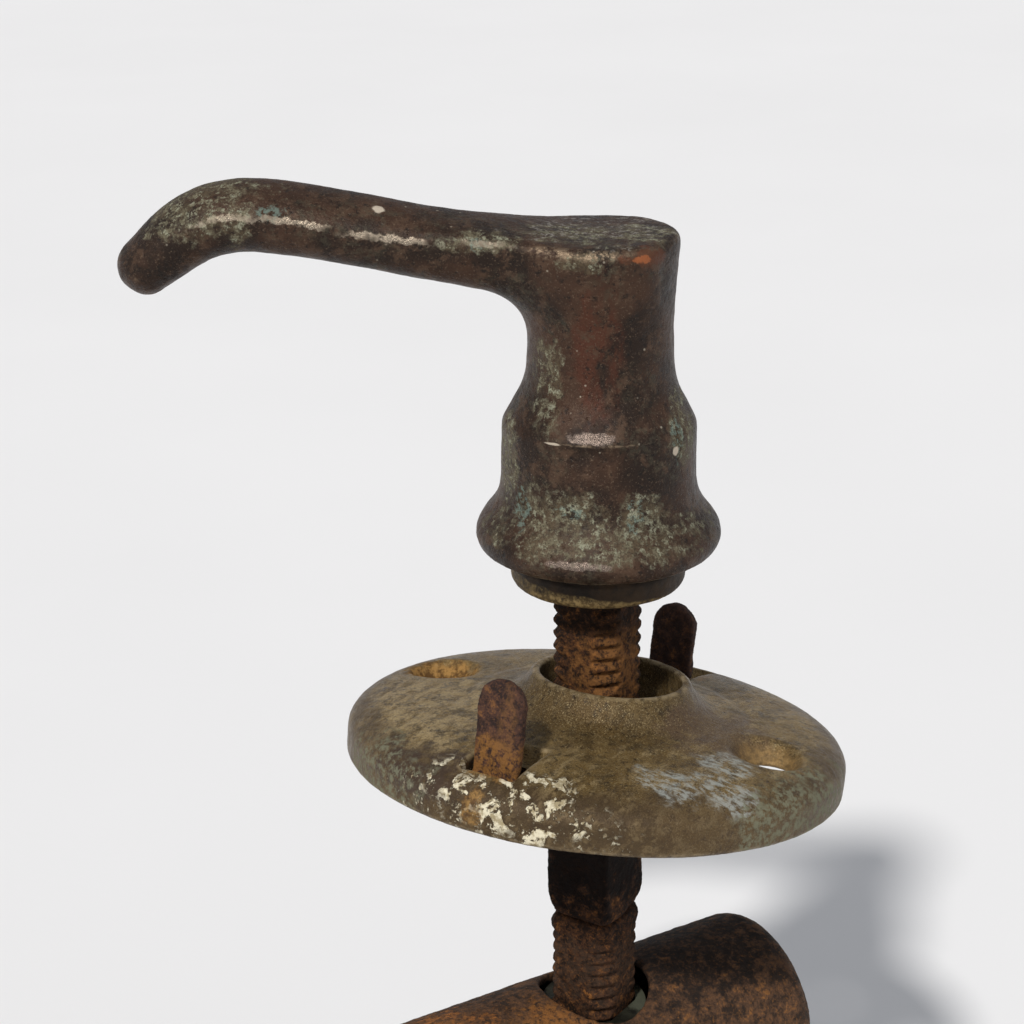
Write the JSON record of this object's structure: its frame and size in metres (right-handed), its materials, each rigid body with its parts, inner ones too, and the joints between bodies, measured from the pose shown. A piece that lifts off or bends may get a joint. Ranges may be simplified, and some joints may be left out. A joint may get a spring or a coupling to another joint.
{
  "type": "door lever handle with tubular latch",
  "caption": "Curled bronze lever on a corner-threaded square spindle, with a loose domed rose, a tabbed strap and a tubular spring latch.",
  "frame": {"origin": "crossing of the spindle axis and the latch case axis", "axes": "+Z along the spindle towards the lever, +X along the latch case towards the bolt"},
  "size_m": [0.0938, 0.0576, 0.1462],
  "materials": {
    "lever_bronze": "dark brown patina with worn ridges and verdigris in the creases",
    "collar_brass": "olive tan, dull",
    "rose_bronze": "olive brown patina, paint flecks on the rim, pale green bloom",
    "plate_brass": "tarnished",
    "cam_bronze": "grimy, pale green",
    "rusty_iron": "heavy rust, pitted",
    "rusty_strap": "purple brown rust, orange at the base",
    "rusty_case": "even brown rust with orange patches",
    "spring_steel": "oily dark steel"
  },
  "bodies": {
    "case": {"latch_tube": "rusty_case", "faceplate": "plate_brass", "bolt_guide": "plate_brass", "spring_seat": "rusty_iron", "bolt_spring": "spring_steel"},
    "handle": {"lever_handle": "lever_bronze", "lever_collar": "collar_brass", "lever_set_screw": "spring_steel", "spindle_upper": "rusty_iron", "spindle_lower": "rusty_iron", "spindle_pin": "rusty_iron", "spindle_hub": "cam_bronze"},
    "bolt": {"latch_bolt": "plate_brass", "bolt_tail": "spring_steel", "bolt_tail_pin": "spring_steel", "tail_nut": "rusty_iron", "retractor": "rusty_case"},
    "rose": {"rose": "rose_bronze"},
    "strap": {"yoke_strap": "rusty_strap"}
  },
  "joints": [
    {"name": "handle_turn", "type": "hinge", "parent": "case", "child": "handle", "pos_m": [0, 0, 0], "axis": [0, 0, 1], "range_deg": [0, 50], "stiffness_Nm_per_rad": 0.0311, "springref_deg": -47.73},
    {"name": "bolt_slide", "type": "slide", "parent": "case", "child": "bolt", "axis": [-1, 0, 0], "range_m": [0, 0.0063], "deforming": ["bolt_spring"]},
    {"name": "rose_slide", "type": "slide", "parent": "case", "child": "rose", "axis": [0, 0, 1], "range_m": [-0.02, 0.008]},
    {"name": "strap_slide", "type": "slide", "parent": "rose", "child": "strap", "axis": [0.876, 0.4566, 0.1553], "range_m": [-0.0042, 0]}
  ],
  "couplings": [
    {"joint": "bolt_slide", "follows": "handle_turn", "m_per_rad": 0.0072}
  ]
}
